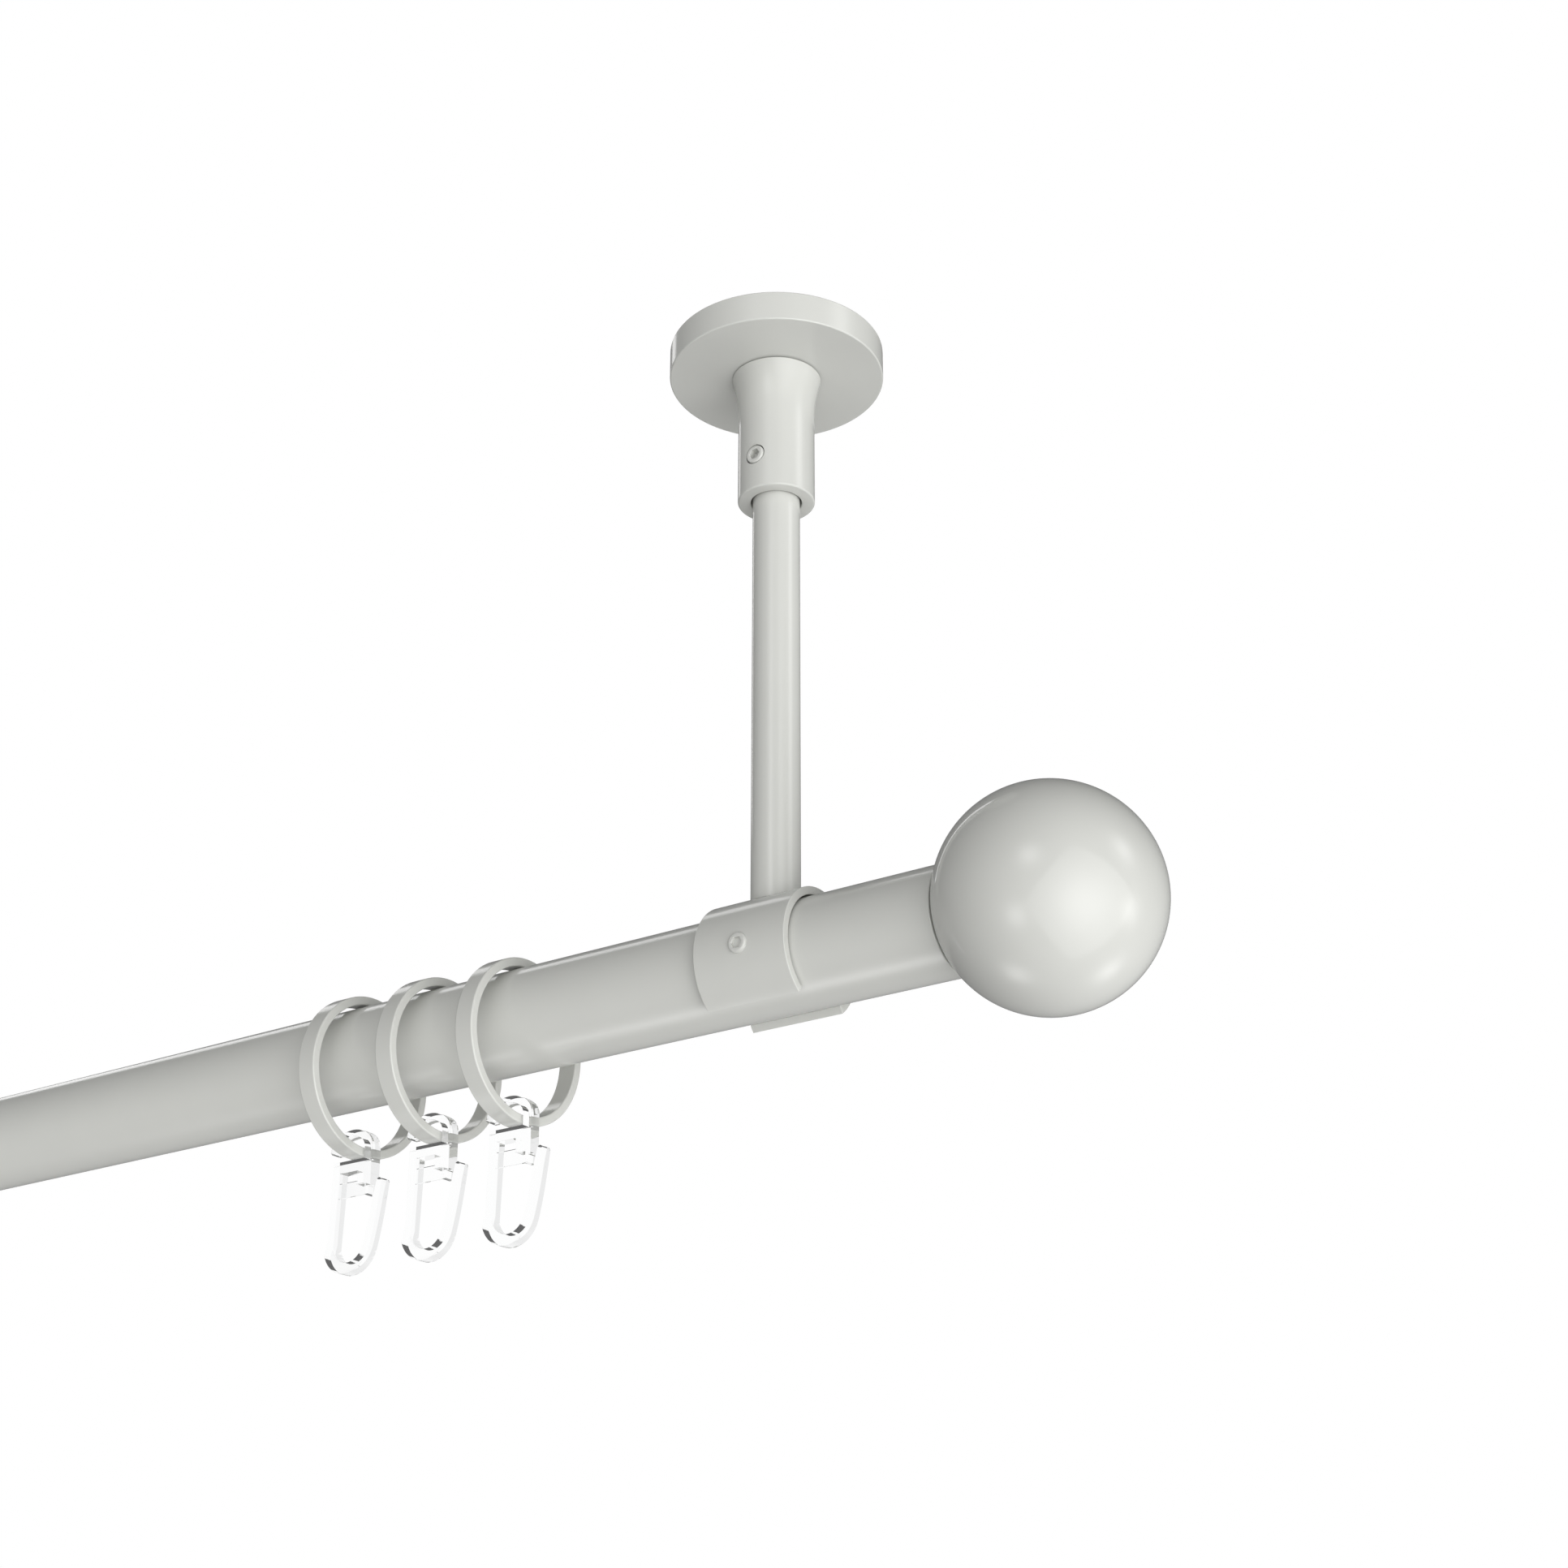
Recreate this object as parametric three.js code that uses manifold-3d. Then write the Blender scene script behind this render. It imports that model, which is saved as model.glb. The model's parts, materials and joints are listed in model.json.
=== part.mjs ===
// Curtain rod with two ceiling brackets, ball finials, rings and clear pleat hooks.
// Millimetres, +Z up. The origin is the centre of the right bracket's ceiling face,
// so the whole object hangs below z = 0. The rod runs along X and the mouth of each
// bracket's saddle faces down.
import * as THREE from 'three';
import { mergeVertices } from 'three/addons/utils/BufferGeometryUtils.js';
import Module from 'manifold-3d';

const wasm = await Module();
wasm.setup();

// ---- driving dimensions ----------------------------------------------------
const gap = 0.3; // clearance between parts that touch on the real object

const rod = { radius: 10, wall: 1, length: 1000, overhang: 37.8, drop: 129.4 };
const rosette = { radius: 21.25, height: 6.3, wall: 1.6, bevel: 0.3 };
const plate = { radius: 19, thickness: 3, bossRadius: 4.9, bossEnd: 14, holeSpacing: 24 };
const woodScrewHole = { radius: 2.2, headRadius: 4.2, headDepth: 2 };
const collar = { radius: 7.5, flareRadius: 8.8, flareEnd: 15.1, end: 34.7, round: 0.35, screwDepth: 27.2 };
const stem = { radius: 4.58, wall: 1, top: 19.5 }; // the drop tube
const insert = { length: 14, clearance: 0.4, boreRadius: 1.9 };
const saddle = { innerRadius: 10.35, wall: 1.5, width: 19.4, mouthHalfAngle: 36 };
const saddleScrew = { headRadius: 2.7, headHeight: 1.2, radius: 1.6, length: 13 };
const grubScrew = { radius: 1.9, socketAcrossFlats: 2, socketDepth: 1.5, edge: 0.3 };
const collarGrubLength = 2.8;
const saddleGrubProud = 0.5;
const ball = { radius: 20, centre: 55.4, screwDepth: 16 };
const plug = { clearance: 0.4, length: 24, ribPitch: 8, ribDepth: 0.5, counterbore: 6 };
const finialScrew = { radius: 2.2, headRadius: 4, headHeight: 4, socketAcrossFlats: 4 };
const ring = { innerRadius: 14.5, wall: 1.75, width: 4.1, bevel: 0.25, first: -59, pitch: 20, count: 3 };
const hook = {
  depth: 2.4,
  shankLeft: -5.35,
  shankRight: -3.45,
  legRight: 4.4,
  legFoot: -8.75,
  web: { top: -5.76, thickness: 0.4, recess: 0.15, overlap: 0.3 },
};

// ---- derived positions -----------------------------------------------------
const axisZ = -rod.drop; // height of the rod's axis
const rodEnd = rod.overhang;
const bracketX = { right: 0, left: -(rod.length - 2 * rod.overhang) };
const saddleOuter = saddle.innerRadius + saddle.wall;
const ringZ = axisZ + rod.radius + gap - ring.innerRadius; // a ring hangs on the rod's top
const ringSection = ring.innerRadius + ring.wall / 2; // radius to the middle of its wall

// ---- materials -------------------------------------------------------------
const finish = (color, roughness, metalness) =>
  new THREE.MeshStandardMaterial({ color, roughness, metalness });
const paint = () => finish(0xc8c9c3, 0.38, 0.1); // light warm-grey lacquer on metal
const bareSteel = () => finish(0x9a9c9e, 0.35, 0.9);
const greyNylon = () => finish(0xb9bab5, 0.55, 0);
const clearPlastic = () => {
  const material = finish(0xf4f7f8, 0.05, 0);
  material.transparent = true;
  material.opacity = 0.35;
  return material;
};

// ---- solids ----------------------------------------------------------------
const radians = THREE.MathUtils.degToRad;

function toManifold(geometry) {
  const bare = geometry.clone();
  bare.deleteAttribute('normal');
  bare.deleteAttribute('uv');
  const merged = mergeVertices(bare, 1e-4);
  return new wasm.Manifold(
    new wasm.Mesh({
      numProp: 3,
      vertProperties: new Float32Array(merged.attributes.position.array),
      triVerts: new Uint32Array(merged.index.array),
    }),
  );
}

function toGeometry(solid) {
  const mesh = solid.getMesh();
  const geometry = new THREE.BufferGeometry();
  geometry.setAttribute('position', new THREE.BufferAttribute(mesh.vertProperties, 3));
  geometry.setIndex(new THREE.BufferAttribute(mesh.triVerts, 1));
  geometry.computeVertexNormals();
  return geometry;
}

function cut(body, ...tools) {
  const solid = tools.reduce((rest, tool) => rest.subtract(toManifold(tool)), toManifold(body));
  return toGeometry(solid);
}

// A profile of [radius, height] points, going up its outer side, turned about an axis.
function turned(profile, axis = 'z', segments = 32) {
  const points = profile.map(([radius, height]) => new THREE.Vector2(radius, height));
  const geometry = new THREE.LatheGeometry(points, segments);
  if (axis === 'z') geometry.rotateX(Math.PI / 2);
  if (axis === 'x') geometry.rotateZ(-Math.PI / 2);
  return geometry;
}

function tube(outer, inner, from, to, axis, segments) {
  const profile = [[inner, from], [outer, from], [outer, to], [inner, to], [inner, from]];
  return turned(profile, axis, segments);
}

function pin(radius, from, to, axis, segments = 16) {
  return turned([[0, from], [radius, from], [radius, to], [0, to]], axis, segments);
}

// A hexagonal rod along an axis, for sockets.
function hexagon(acrossFlats, from, to, axis) {
  return pin(acrossFlats / Math.sqrt(3), from, to, axis, 6);
}

// A flat outline in the XZ plane, made solid along Y.
function plateAlongY(shape, depth, curveSegments = 12) {
  const geometry = new THREE.ExtrudeGeometry(shape, { depth, bevelEnabled: false, curveSegments });
  geometry.rotateX(Math.PI / 2);
  geometry.translate(0, depth / 2, 0);
  return geometry;
}

// ---- ceiling mount ---------------------------------------------------------
// A steel disc that is screwed to the ceiling, with a threaded boss for the collar.
function ceilingPlate() {
  const { radius, thickness, bossRadius, bossEnd, holeSpacing } = plate;
  const body = turned([
    [0, -bossEnd],
    [bossRadius - 0.5, -bossEnd],
    [bossRadius, -bossEnd + 0.5],
    [bossRadius, -thickness],
    [radius, -thickness],
    [radius, 0],
    [0, 0],
  ]);
  const { radius: hole, headRadius, headDepth } = woodScrewHole;
  const countersinks = [-1, 1].map((side) => {
    const cutter = turned(
      [
        [0, -thickness - 1],
        [headRadius + 1, -thickness - 1],
        [headRadius, -thickness],
        [hole, -thickness + headDepth],
        [hole, 1],
        [0, 1],
      ],
      'z',
      24,
    );
    return cutter.translate(0, (side * holeSpacing) / 2, 0);
  });
  return cut(body, ...countersinks);
}

// The visible disc: a shallow cup over the ceiling plate, open to the ceiling.
function rosetteCover() {
  const { radius, height, wall, bevel } = rosette;
  const bore = plate.bossRadius + gap;
  const inside = -height + wall;
  return turned(
    [
      [bore, -height],
      [radius - bevel, -height],
      [radius, -height + bevel],
      [radius, -bevel],
      [radius - bevel, 0],
      [radius - wall, 0],
      [radius - wall, inside],
      [bore, inside],
      [bore, -height],
    ],
    'z',
    40,
  );
}

// The sleeve under the disc: it screws onto the plate's boss and clamps the drop tube.
function collarSleeve() {
  const top = -(rosette.height + gap);
  const { radius, flareRadius, flareEnd, end, round } = collar;
  const flareSteps = 4;
  const flare = Array.from({ length: flareSteps + 1 }, (_, step) => {
    const up = step / flareSteps;
    return [radius + (flareRadius - radius) * up * up, -flareEnd + (top + flareEnd) * up];
  });
  const stemBore = stem.radius + gap + 0.05;
  const bossBore = plate.bossRadius + gap;
  const shoulder = -plate.bossEnd - gap;
  const body = turned([
    [stemBore, -end],
    [radius - round, -end],
    [radius - round * 0.29, -end + round * 0.29],
    [radius, -end + round],
    ...flare,
    [bossBore, top],
    [bossBore, shoulder],
    [stemBore, shoulder],
    [stemBore, -end],
  ]);
  const screwHole = pin(grubScrew.radius + gap, -radius - 1, 0, 'y');
  return cut(body, screwHole.translate(0, 0, -collar.screwDepth));
}

// A headless screw with a hexagon socket in its outer end, lying along Y.
function grub(outerY, length) {
  const { radius, edge, socketAcrossFlats, socketDepth } = grubScrew;
  const body = turned(
    [
      [0, outerY],
      [radius - edge, outerY],
      [radius, outerY + edge],
      [radius, outerY + length - edge],
      [radius - edge, outerY + length],
      [0, outerY + length],
    ],
    'y',
    16,
  );
  return cut(body, hexagon(socketAcrossFlats, outerY - 1, outerY + socketDepth, 'y'));
}

// ---- hanger ----------------------------------------------------------------
// The drop tube, with its lower end coped to sit on the saddle.
function dropTube() {
  const inner = stem.radius - stem.wall;
  const body = tube(stem.radius, inner, axisZ + rod.radius - 2, -stem.top, 'z', 32);
  const coping = pin(saddleOuter + gap, -saddle.width, saddle.width, 'x', 32);
  return cut(body, coping.translate(0, 0, axisZ));
}

function tubeInsert() {
  const outer = stem.radius - stem.wall - insert.clearance;
  const from = axisZ + saddleOuter + gap;
  return tube(outer, insert.boreRadius, from, from + insert.length, 'z', 20);
}

// A C-shaped clip round the rod, open at the bottom.
function saddleClip() {
  const { innerRadius, width, mouthHalfAngle } = saddle;
  const start = radians(-90 + mouthHalfAngle);
  const end = radians(270 - mouthHalfAngle);
  const shape = new THREE.Shape();
  shape.absarc(0, 0, saddleOuter, start, end, false);
  shape.absarc(0, 0, innerRadius, end, start, true);
  const body = new THREE.ExtrudeGeometry(shape, { depth: width, bevelEnabled: false, curveSegments: 14 });
  body.rotateX(Math.PI / 2);
  body.rotateZ(Math.PI / 2);
  body.translate(-width / 2, 0, 0);
  const grubHole = pin(grubScrew.radius + gap, -saddleOuter - 1, 0, 'y');
  return cut(body, grubHole, saddleScrewShape(gap, saddleOuter + 1)).translate(0, 0, axisZ);
}

// The countersunk screw that holds the saddle to the drop tube, about the rod's axis.
function saddleScrewShape(margin, top) {
  const { headRadius, headHeight, radius } = saddleScrew;
  const headFace = saddle.innerRadius + 0.05;
  const start = margin > 0 ? rod.radius - 2 : headFace;
  return turned(
    [
      [0, start],
      [headRadius + margin, start],
      [headRadius + margin, headFace + 0.2],
      [radius + margin, headFace + headHeight],
      [radius + margin, top],
      [0, top],
    ],
    'z',
    16,
  );
}

function saddleScrewBody() {
  const top = saddle.innerRadius + saddleScrew.length;
  const socket = hexagon(2.2, rod.radius, saddle.innerRadius + 1, 'z');
  return cut(saddleScrewShape(0, top), socket).translate(0, 0, axisZ);
}

// ---- rod and finials -------------------------------------------------------
function rodTube() {
  const from = bracketX.left - rod.overhang;
  return tube(rod.radius, rod.radius - rod.wall, from, rodEnd, 'x', 40).translate(0, 0, axisZ);
}

// Finial pieces are made for the right end and turned round for the left end.
function finialBall() {
  const face = rodEnd + gap;
  const bore = finialScrew.radius + gap;
  const start = Math.acos((face - ball.centre) / ball.radius);
  const steps = 12;
  const outside = Array.from({ length: steps + 1 }, (_, step) => {
    const angle = start * (1 - step / steps);
    return [ball.radius * Math.sin(angle), ball.centre + ball.radius * Math.cos(angle)];
  });
  const boreEnd = face + ball.screwDepth;
  return turned([[0, boreEnd], [bore, boreEnd], [bore, face], ...outside], 'x', 32);
}

function finialPlug() {
  const outer = rod.radius - rod.wall - plug.clearance;
  const bore = finialScrew.radius + gap;
  const headBore = finialScrew.headRadius + gap;
  const start = rodEnd - plug.length;
  const ribs = [];
  for (let x = start + 1; x + plug.ribPitch < rodEnd; x += plug.ribPitch) {
    ribs.push([outer, x], [outer, x + plug.ribPitch / 2]);
    ribs.push([outer - plug.ribDepth, x + plug.ribPitch / 2], [outer - plug.ribDepth, x + plug.ribPitch]);
  }
  const profile = [
    [headBore, start],
    [outer - plug.ribDepth, start],
    [outer - plug.ribDepth, start + 1],
    ...ribs,
    [outer - plug.ribDepth, rodEnd],
    [bore, rodEnd],
    [bore, start + plug.counterbore],
    [headBore, start + plug.counterbore],
    [headBore, start],
  ];
  return turned(profile, 'x', 20);
}

function finialScrewBody() {
  const { radius, headRadius, headHeight, socketAcrossFlats } = finialScrew;
  const seat = rodEnd - plug.length + plug.counterbore - gap;
  const tip = rodEnd + gap + ball.screwDepth - 1;
  const body = turned(
    [
      [0, seat - headHeight],
      [headRadius, seat - headHeight],
      [headRadius, seat],
      [radius, seat],
      [radius, tip - 0.8],
      [radius - 0.8, tip],
      [0, tip],
    ],
    'x',
    20,
  );
  return cut(body, hexagon(socketAcrossFlats, seat - headHeight - 1, seat - 1.5, 'x'));
}

// ---- rings and hooks -------------------------------------------------------
function curtainRing() {
  const { innerRadius, wall, width, bevel } = ring;
  const outer = innerRadius + wall;
  const half = width / 2;
  return turned(
    [
      [innerRadius + bevel, -half],
      [outer - bevel, -half],
      [outer, -half + bevel],
      [outer, half - bevel],
      [outer - bevel, half],
      [innerRadius + bevel, half],
      [innerRadius, half - bevel],
      [innerRadius, -half + bevel],
      [innerRadius + bevel, -half],
    ],
    'x',
    36,
  );
}

// The clear pleat hook, about the middle of the ring's wall. An open eye clips over
// the ring and a cross-bar hangs below it, with a tooth on its underside. The J below
// takes the curtain tape, and its tip springs against the right leg.
function hookShape() {
  const eye = { x: -0.8, y: 0.8, outer: [5.5, 3.95], inner: [3.5, 2.7] };
  const bend = { x: -0.25, y: -17.7, outer: 6.05, inner: 3.95, innerX: 0.15 };
  const barTop = -1.4;
  const barFoot = -3.7;
  const tooth = { left: 1.15, right: 3.3, foot: -6.45 };
  const legLeft = 2.75;

  const shape = new THREE.Shape();
  shape.moveTo(eye.x + eye.outer[0], eye.y);
  shape.absellipse(eye.x, eye.y, ...eye.outer, 0, Math.PI, false, 0);
  shape.lineTo(eye.x - eye.outer[0] + 0.4, eye.y - 0.4);
  shape.lineTo(eye.x - eye.inner[0] - 0.4, eye.y - 0.4);
  shape.absellipse(eye.x, eye.y, ...eye.inner, Math.PI, 0, true, 0);
  shape.lineTo(legLeft, barTop);
  shape.lineTo(hook.shankLeft, barTop);
  shape.lineTo(hook.shankLeft, bend.y);
  shape.absarc(bend.x, bend.y, bend.outer, radians(195), radians(347), false);
  shape.quadraticCurveTo(6.7, -14.8, 7.4, -9);
  shape.lineTo(7.7, -6.7);
  shape.absarc(7.05, -6.6, 0.65, 0, Math.PI, false);
  shape.lineTo(5.85, -9);
  shape.quadraticCurveTo(5, -15, bend.innerX + bend.inner * Math.cos(radians(-15)), -18.7);
  shape.absarc(bend.innerX - 0.05, bend.y, bend.inner, radians(-20), radians(-170), true);
  shape.lineTo(hook.shankRight, barFoot);
  shape.lineTo(tooth.left, barFoot);
  shape.lineTo(tooth.left, tooth.foot);
  shape.lineTo(tooth.right, tooth.foot);
  shape.lineTo(tooth.right, hook.legFoot);
  shape.lineTo(hook.legRight, hook.legFoot);
  shape.lineTo(hook.legRight, -7.3);
  shape.lineTo(4.9, -7.3);
  return shape;
}

// A thin web joins the shank to the right leg, just behind the hook's front face.
function pleatHook() {
  const { depth, shankRight, legRight, legFoot, web } = hook;
  const width = legRight - shankRight;
  const sheet = new THREE.BoxGeometry(width, web.thickness, web.top - legFoot);
  const behindFront = -depth / 2 + web.recess + web.thickness / 2;
  sheet.translate(shankRight + width / 2 - web.overlap, behindFront, (web.top + legFoot) / 2);
  const body = toManifold(plateAlongY(hookShape(), depth, 7));
  return toGeometry(body.add(toManifold(sheet)));
}

// ---- assembly --------------------------------------------------------------
const object = new THREE.Group();

function addPart(parent, name, geometry, material) {
  const mesh = new THREE.Mesh(geometry, material);
  mesh.name = name;
  parent.add(mesh);
  return mesh;
}

for (const side of ['right', 'left']) {
  const bracket = new THREE.Group();
  bracket.position.x = bracketX[side];
  object.add(bracket);
  addPart(bracket, `ceiling_plate_${side}`, ceilingPlate(), bareSteel());
  addPart(bracket, `rosette_${side}`, rosetteCover(), paint());
  addPart(bracket, `collar_${side}`, collarSleeve(), paint());
  const collarGrub = grub(-collar.radius - 0.15, collarGrubLength);
  collarGrub.translate(0, 0, -collar.screwDepth);
  addPart(bracket, `collar_grub_screw_${side}`, collarGrub, paint());
  addPart(bracket, `drop_tube_${side}`, dropTube(), paint());
  addPart(bracket, `tube_insert_${side}`, tubeInsert(), bareSteel());
  addPart(bracket, `saddle_${side}`, saddleClip(), paint());
  addPart(bracket, `saddle_screw_${side}`, saddleScrewBody(), bareSteel());
  const saddleGrubLength = saddleOuter + saddleGrubProud - rod.radius - gap;
  const saddleGrub = grub(-saddleOuter - saddleGrubProud, saddleGrubLength);
  saddleGrub.translate(0, 0, axisZ);
  addPart(bracket, `saddle_grub_screw_${side}`, saddleGrub, paint());
}

addPart(object, 'rod_tube', rodTube(), paint());

for (const side of ['right', 'left']) {
  const finial = new THREE.Group();
  finial.position.set(bracketX[side], 0, axisZ);
  if (side === 'left') finial.rotation.z = Math.PI;
  object.add(finial);
  addPart(finial, `finial_ball_${side}`, finialBall(), paint());
  addPart(finial, `finial_plug_${side}`, finialPlug(), greyNylon());
  addPart(finial, `finial_screw_${side}`, finialScrewBody(), bareSteel());
}

for (let index = 0; index < ring.count; index += 1) {
  const hanging = new THREE.Group();
  hanging.position.set(ring.first - ring.pitch * index, 0, ringZ);
  object.add(hanging);
  addPart(hanging, `ring_${index + 1}`, curtainRing(), paint());
  const clip = addPart(hanging, `hook_${index + 1}`, pleatHook(), clearPlastic());
  clip.position.z = -ringSection;
}

export default object;
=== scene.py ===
"""Looks of the curtain rod with two ceiling brackets, ball finials, rings and clear pleat hooks.

Metres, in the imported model's frame: the origin is the centre of the right bracket's ceiling
face, +X runs along the rod to the right finial and +Z is up. Every CAD piece is replaced by a
fine mesh of the same size in the same place, and rides on the same body.
"""
import json
import math

import bmesh
import bpy
from mathutils import Matrix, Vector


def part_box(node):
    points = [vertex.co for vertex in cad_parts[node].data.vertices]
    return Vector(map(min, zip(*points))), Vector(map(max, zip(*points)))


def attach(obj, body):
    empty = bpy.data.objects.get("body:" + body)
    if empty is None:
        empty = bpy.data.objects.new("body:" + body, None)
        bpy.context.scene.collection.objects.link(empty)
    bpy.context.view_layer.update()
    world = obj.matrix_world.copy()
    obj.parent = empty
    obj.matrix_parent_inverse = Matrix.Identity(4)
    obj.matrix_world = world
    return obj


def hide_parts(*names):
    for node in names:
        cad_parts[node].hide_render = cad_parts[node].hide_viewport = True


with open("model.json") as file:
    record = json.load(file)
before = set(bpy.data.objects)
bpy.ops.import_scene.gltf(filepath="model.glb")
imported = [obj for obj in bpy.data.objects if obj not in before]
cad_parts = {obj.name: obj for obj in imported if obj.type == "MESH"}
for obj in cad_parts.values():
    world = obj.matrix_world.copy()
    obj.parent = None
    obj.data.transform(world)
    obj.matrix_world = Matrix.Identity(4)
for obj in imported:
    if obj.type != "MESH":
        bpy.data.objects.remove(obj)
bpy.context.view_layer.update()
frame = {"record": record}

MM = 0.001
SIDES = ("right", "left")
RINGS = (1, 2, 3)
scene = bpy.context.scene
body_of_node = {
    node: body for body, nodes in frame["record"]["behaviour"]["bodies"].items() for node in nodes
}


# ---- sizes, worked out from the frame ---------------------------------------
def middle(node):
    low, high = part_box(node)
    return (low + high) / 2


def size(node):
    low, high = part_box(node)
    return high - low


GAP = 0.3 * MM  # clearance between touching pieces
EDGE = 0.3 * MM  # usual round on an outer edge
FINE_EDGE = 0.2 * MM  # usual round on an inner edge
rod_low, rod_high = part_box("rod_tube")
ROD_RADIUS = (rod_high.z - rod_low.z) / 2
ROD_WALL = 1.0 * MM
ROD_AXIS = Vector((0, 0, (rod_high.z + rod_low.z) / 2))
BRACKET_X = {side: middle(f"rosette_{side}").x for side in SIDES}
PLATE_RADIUS = size("ceiling_plate_right").x / 2
PLATE_THICKNESS = 3.0 * MM
BOSS_RADIUS = 4.9 * MM
BOSS_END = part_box("ceiling_plate_right")[0].z
ROSETTE_WALL = 1.6 * MM
COLLAR_RADIUS = 7.5 * MM
FLARE_END = -15.1 * MM
SCREW_RADIUS = size("collar_grub_screw_right").x / 2
STEM_RADIUS = size("drop_tube_right").x / 2
STEM_WALL = 1.0 * MM
SADDLE_OUTER = -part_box("saddle_right")[0].y
SADDLE_INNER = SADDLE_OUTER - 1.5 * MM
MOUTH_HALF_ANGLE = 36  # degrees
FINIAL_SCREW_RADIUS = 2.2 * MM
FINIAL_HEAD_RADIUS = 4.0 * MM
FINIAL_HEAD_HEIGHT = 4.0 * MM
RING_WALL = 1.75 * MM


# ---- meshes -----------------------------------------------------------------
TINY = 1e-9  # a shorter length counts as nothing
MERGE_WITHIN = 1e-6
SHORTEST_EDGE = 1e-7
LONGEST_ROUND = 0.49  # the share of a side that the round at one of its ends may take
ROUND_STEPS = 4
BEND_STEPS = 10

# Turns that take +Z of a drawn shape to the named axis.
AXES = {
    "z": Matrix.Identity(3),
    "x": Matrix(((0, 0, 1), (1, 0, 0), (0, 1, 0))),
    "-x": Matrix(((0, 0, -1), (-1, 0, 0), (0, 1, 0))),
    "y": Matrix(((1, 0, 0), (0, 0, 1), (0, -1, 0))),
    "-y": Matrix(((1, 0, 0), (0, 0, -1), (0, 1, 0))),
    "-z": Matrix(((1, 0, 0), (0, -1, 0), (0, 0, -1))),
}


def finish_piece(piece, node, material, sharp_angle=40):
    """Shades a new mesh, gives it its material and lets it stand for a CAD node."""
    mesh = piece.data
    mesh.materials.clear()
    mesh.materials.append(material)
    mesh.shade_smooth()
    mesh.set_sharp_from_angle(angle=math.radians(sharp_angle))
    normals = piece.modifiers.new("even_normals", "WEIGHTED_NORMAL")
    normals.keep_sharp = True
    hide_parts(node)
    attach(piece, body_of_node[node])


def new_object(name, data):
    piece = bpy.data.objects.new(name, data)
    scene.collection.objects.link(piece)
    return piece


def placed_object(name, bm, axis, origin):
    """Turns and moves a drawn bmesh, and makes an object of it."""
    bmesh.ops.transform(bm, matrix=AXES[axis].to_4x4(), verts=bm.verts)
    bmesh.ops.translate(bm, vec=Vector(origin), verts=bm.verts)
    bmesh.ops.recalc_face_normals(bm, faces=bm.faces)
    mesh = bpy.data.meshes.new(name)
    bm.to_mesh(mesh)
    bm.free()
    return new_object(name, mesh)


def soften(points, closed=False):
    """Rounds the corners of a polyline. A point is (x, y) or (x, y, radius)."""
    out = []
    count = len(points)
    for index, point in enumerate(points):
        corner = Vector(point[:2])
        radius = point[2] if len(point) > 2 else 0
        ends = not closed and index in (0, count - 1)
        if ends or radius <= 0:
            out.append(corner)
            continue
        before = Vector(points[index - 1][:2]) - corner
        after = Vector(points[(index + 1) % count][:2]) - corner
        half = before.angle(after) / 2
        room = min(before.length, after.length) * LONGEST_ROUND
        reach = min(radius / math.tan(half), room)
        start = corner + before.normalized() * reach
        end = corner + after.normalized() * reach
        bisector = (before.normalized() + after.normalized()).normalized()
        centre = corner + bisector * (reach / math.cos(half))
        first, last = start - centre, end - centre
        for step in range(ROUND_STEPS + 1):
            mixed = first.lerp(last, step / ROUND_STEPS)
            out.append(centre + mixed.normalized() * first.length)
    return out


def soft_loop(points):
    """Rounds the corners of a profile that closes on itself, and ends it where it starts."""
    loop = soften(points, closed=True)
    return loop + loop[:1]


def arc(centre, radii, start, end, steps):
    """Points of an elliptical arc; angles in degrees."""
    points = []
    for step in range(steps + 1):
        angle = math.radians(start + (end - start) * step / steps)
        points.append(
            (centre[0] + radii[0] * math.cos(angle), centre[1] + radii[1] * math.sin(angle))
        )
    return points


def lathe(name, profile, segments, axis="z", origin=(0, 0, 0), reshape=None):
    """Turns a profile of (radius, height) points about an axis. The profile goes up its outer
    side, and either closes on itself or starts and ends on the axis. reshape, where given,
    works out each point's height from its radius, height and angle."""
    closed = (Vector(profile[0]) - Vector(profile[-1])).length < TINY
    points = profile[:-1] if closed else profile
    bm = bmesh.new()
    rows = []
    for radius, height in points:
        if radius < TINY:
            rows.append([bm.verts.new((0, 0, height))] * segments)
            continue
        row = []
        for step in range(segments):
            angle = math.tau * step / segments
            here = height if reshape is None else reshape(radius, height, angle)
            row.append(bm.verts.new((radius * math.cos(angle), radius * math.sin(angle), here)))
        rows.append(row)
    if closed:
        rows.append(rows[0])
    for lower, upper in zip(rows, rows[1:]):
        for step in range(segments):
            after = (step + 1) % segments
            corners = [lower[step], lower[after], upper[after], upper[step]]
            bm.faces.new(list(dict.fromkeys(corners)))
    return placed_object(name, bm, axis, origin)


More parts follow.
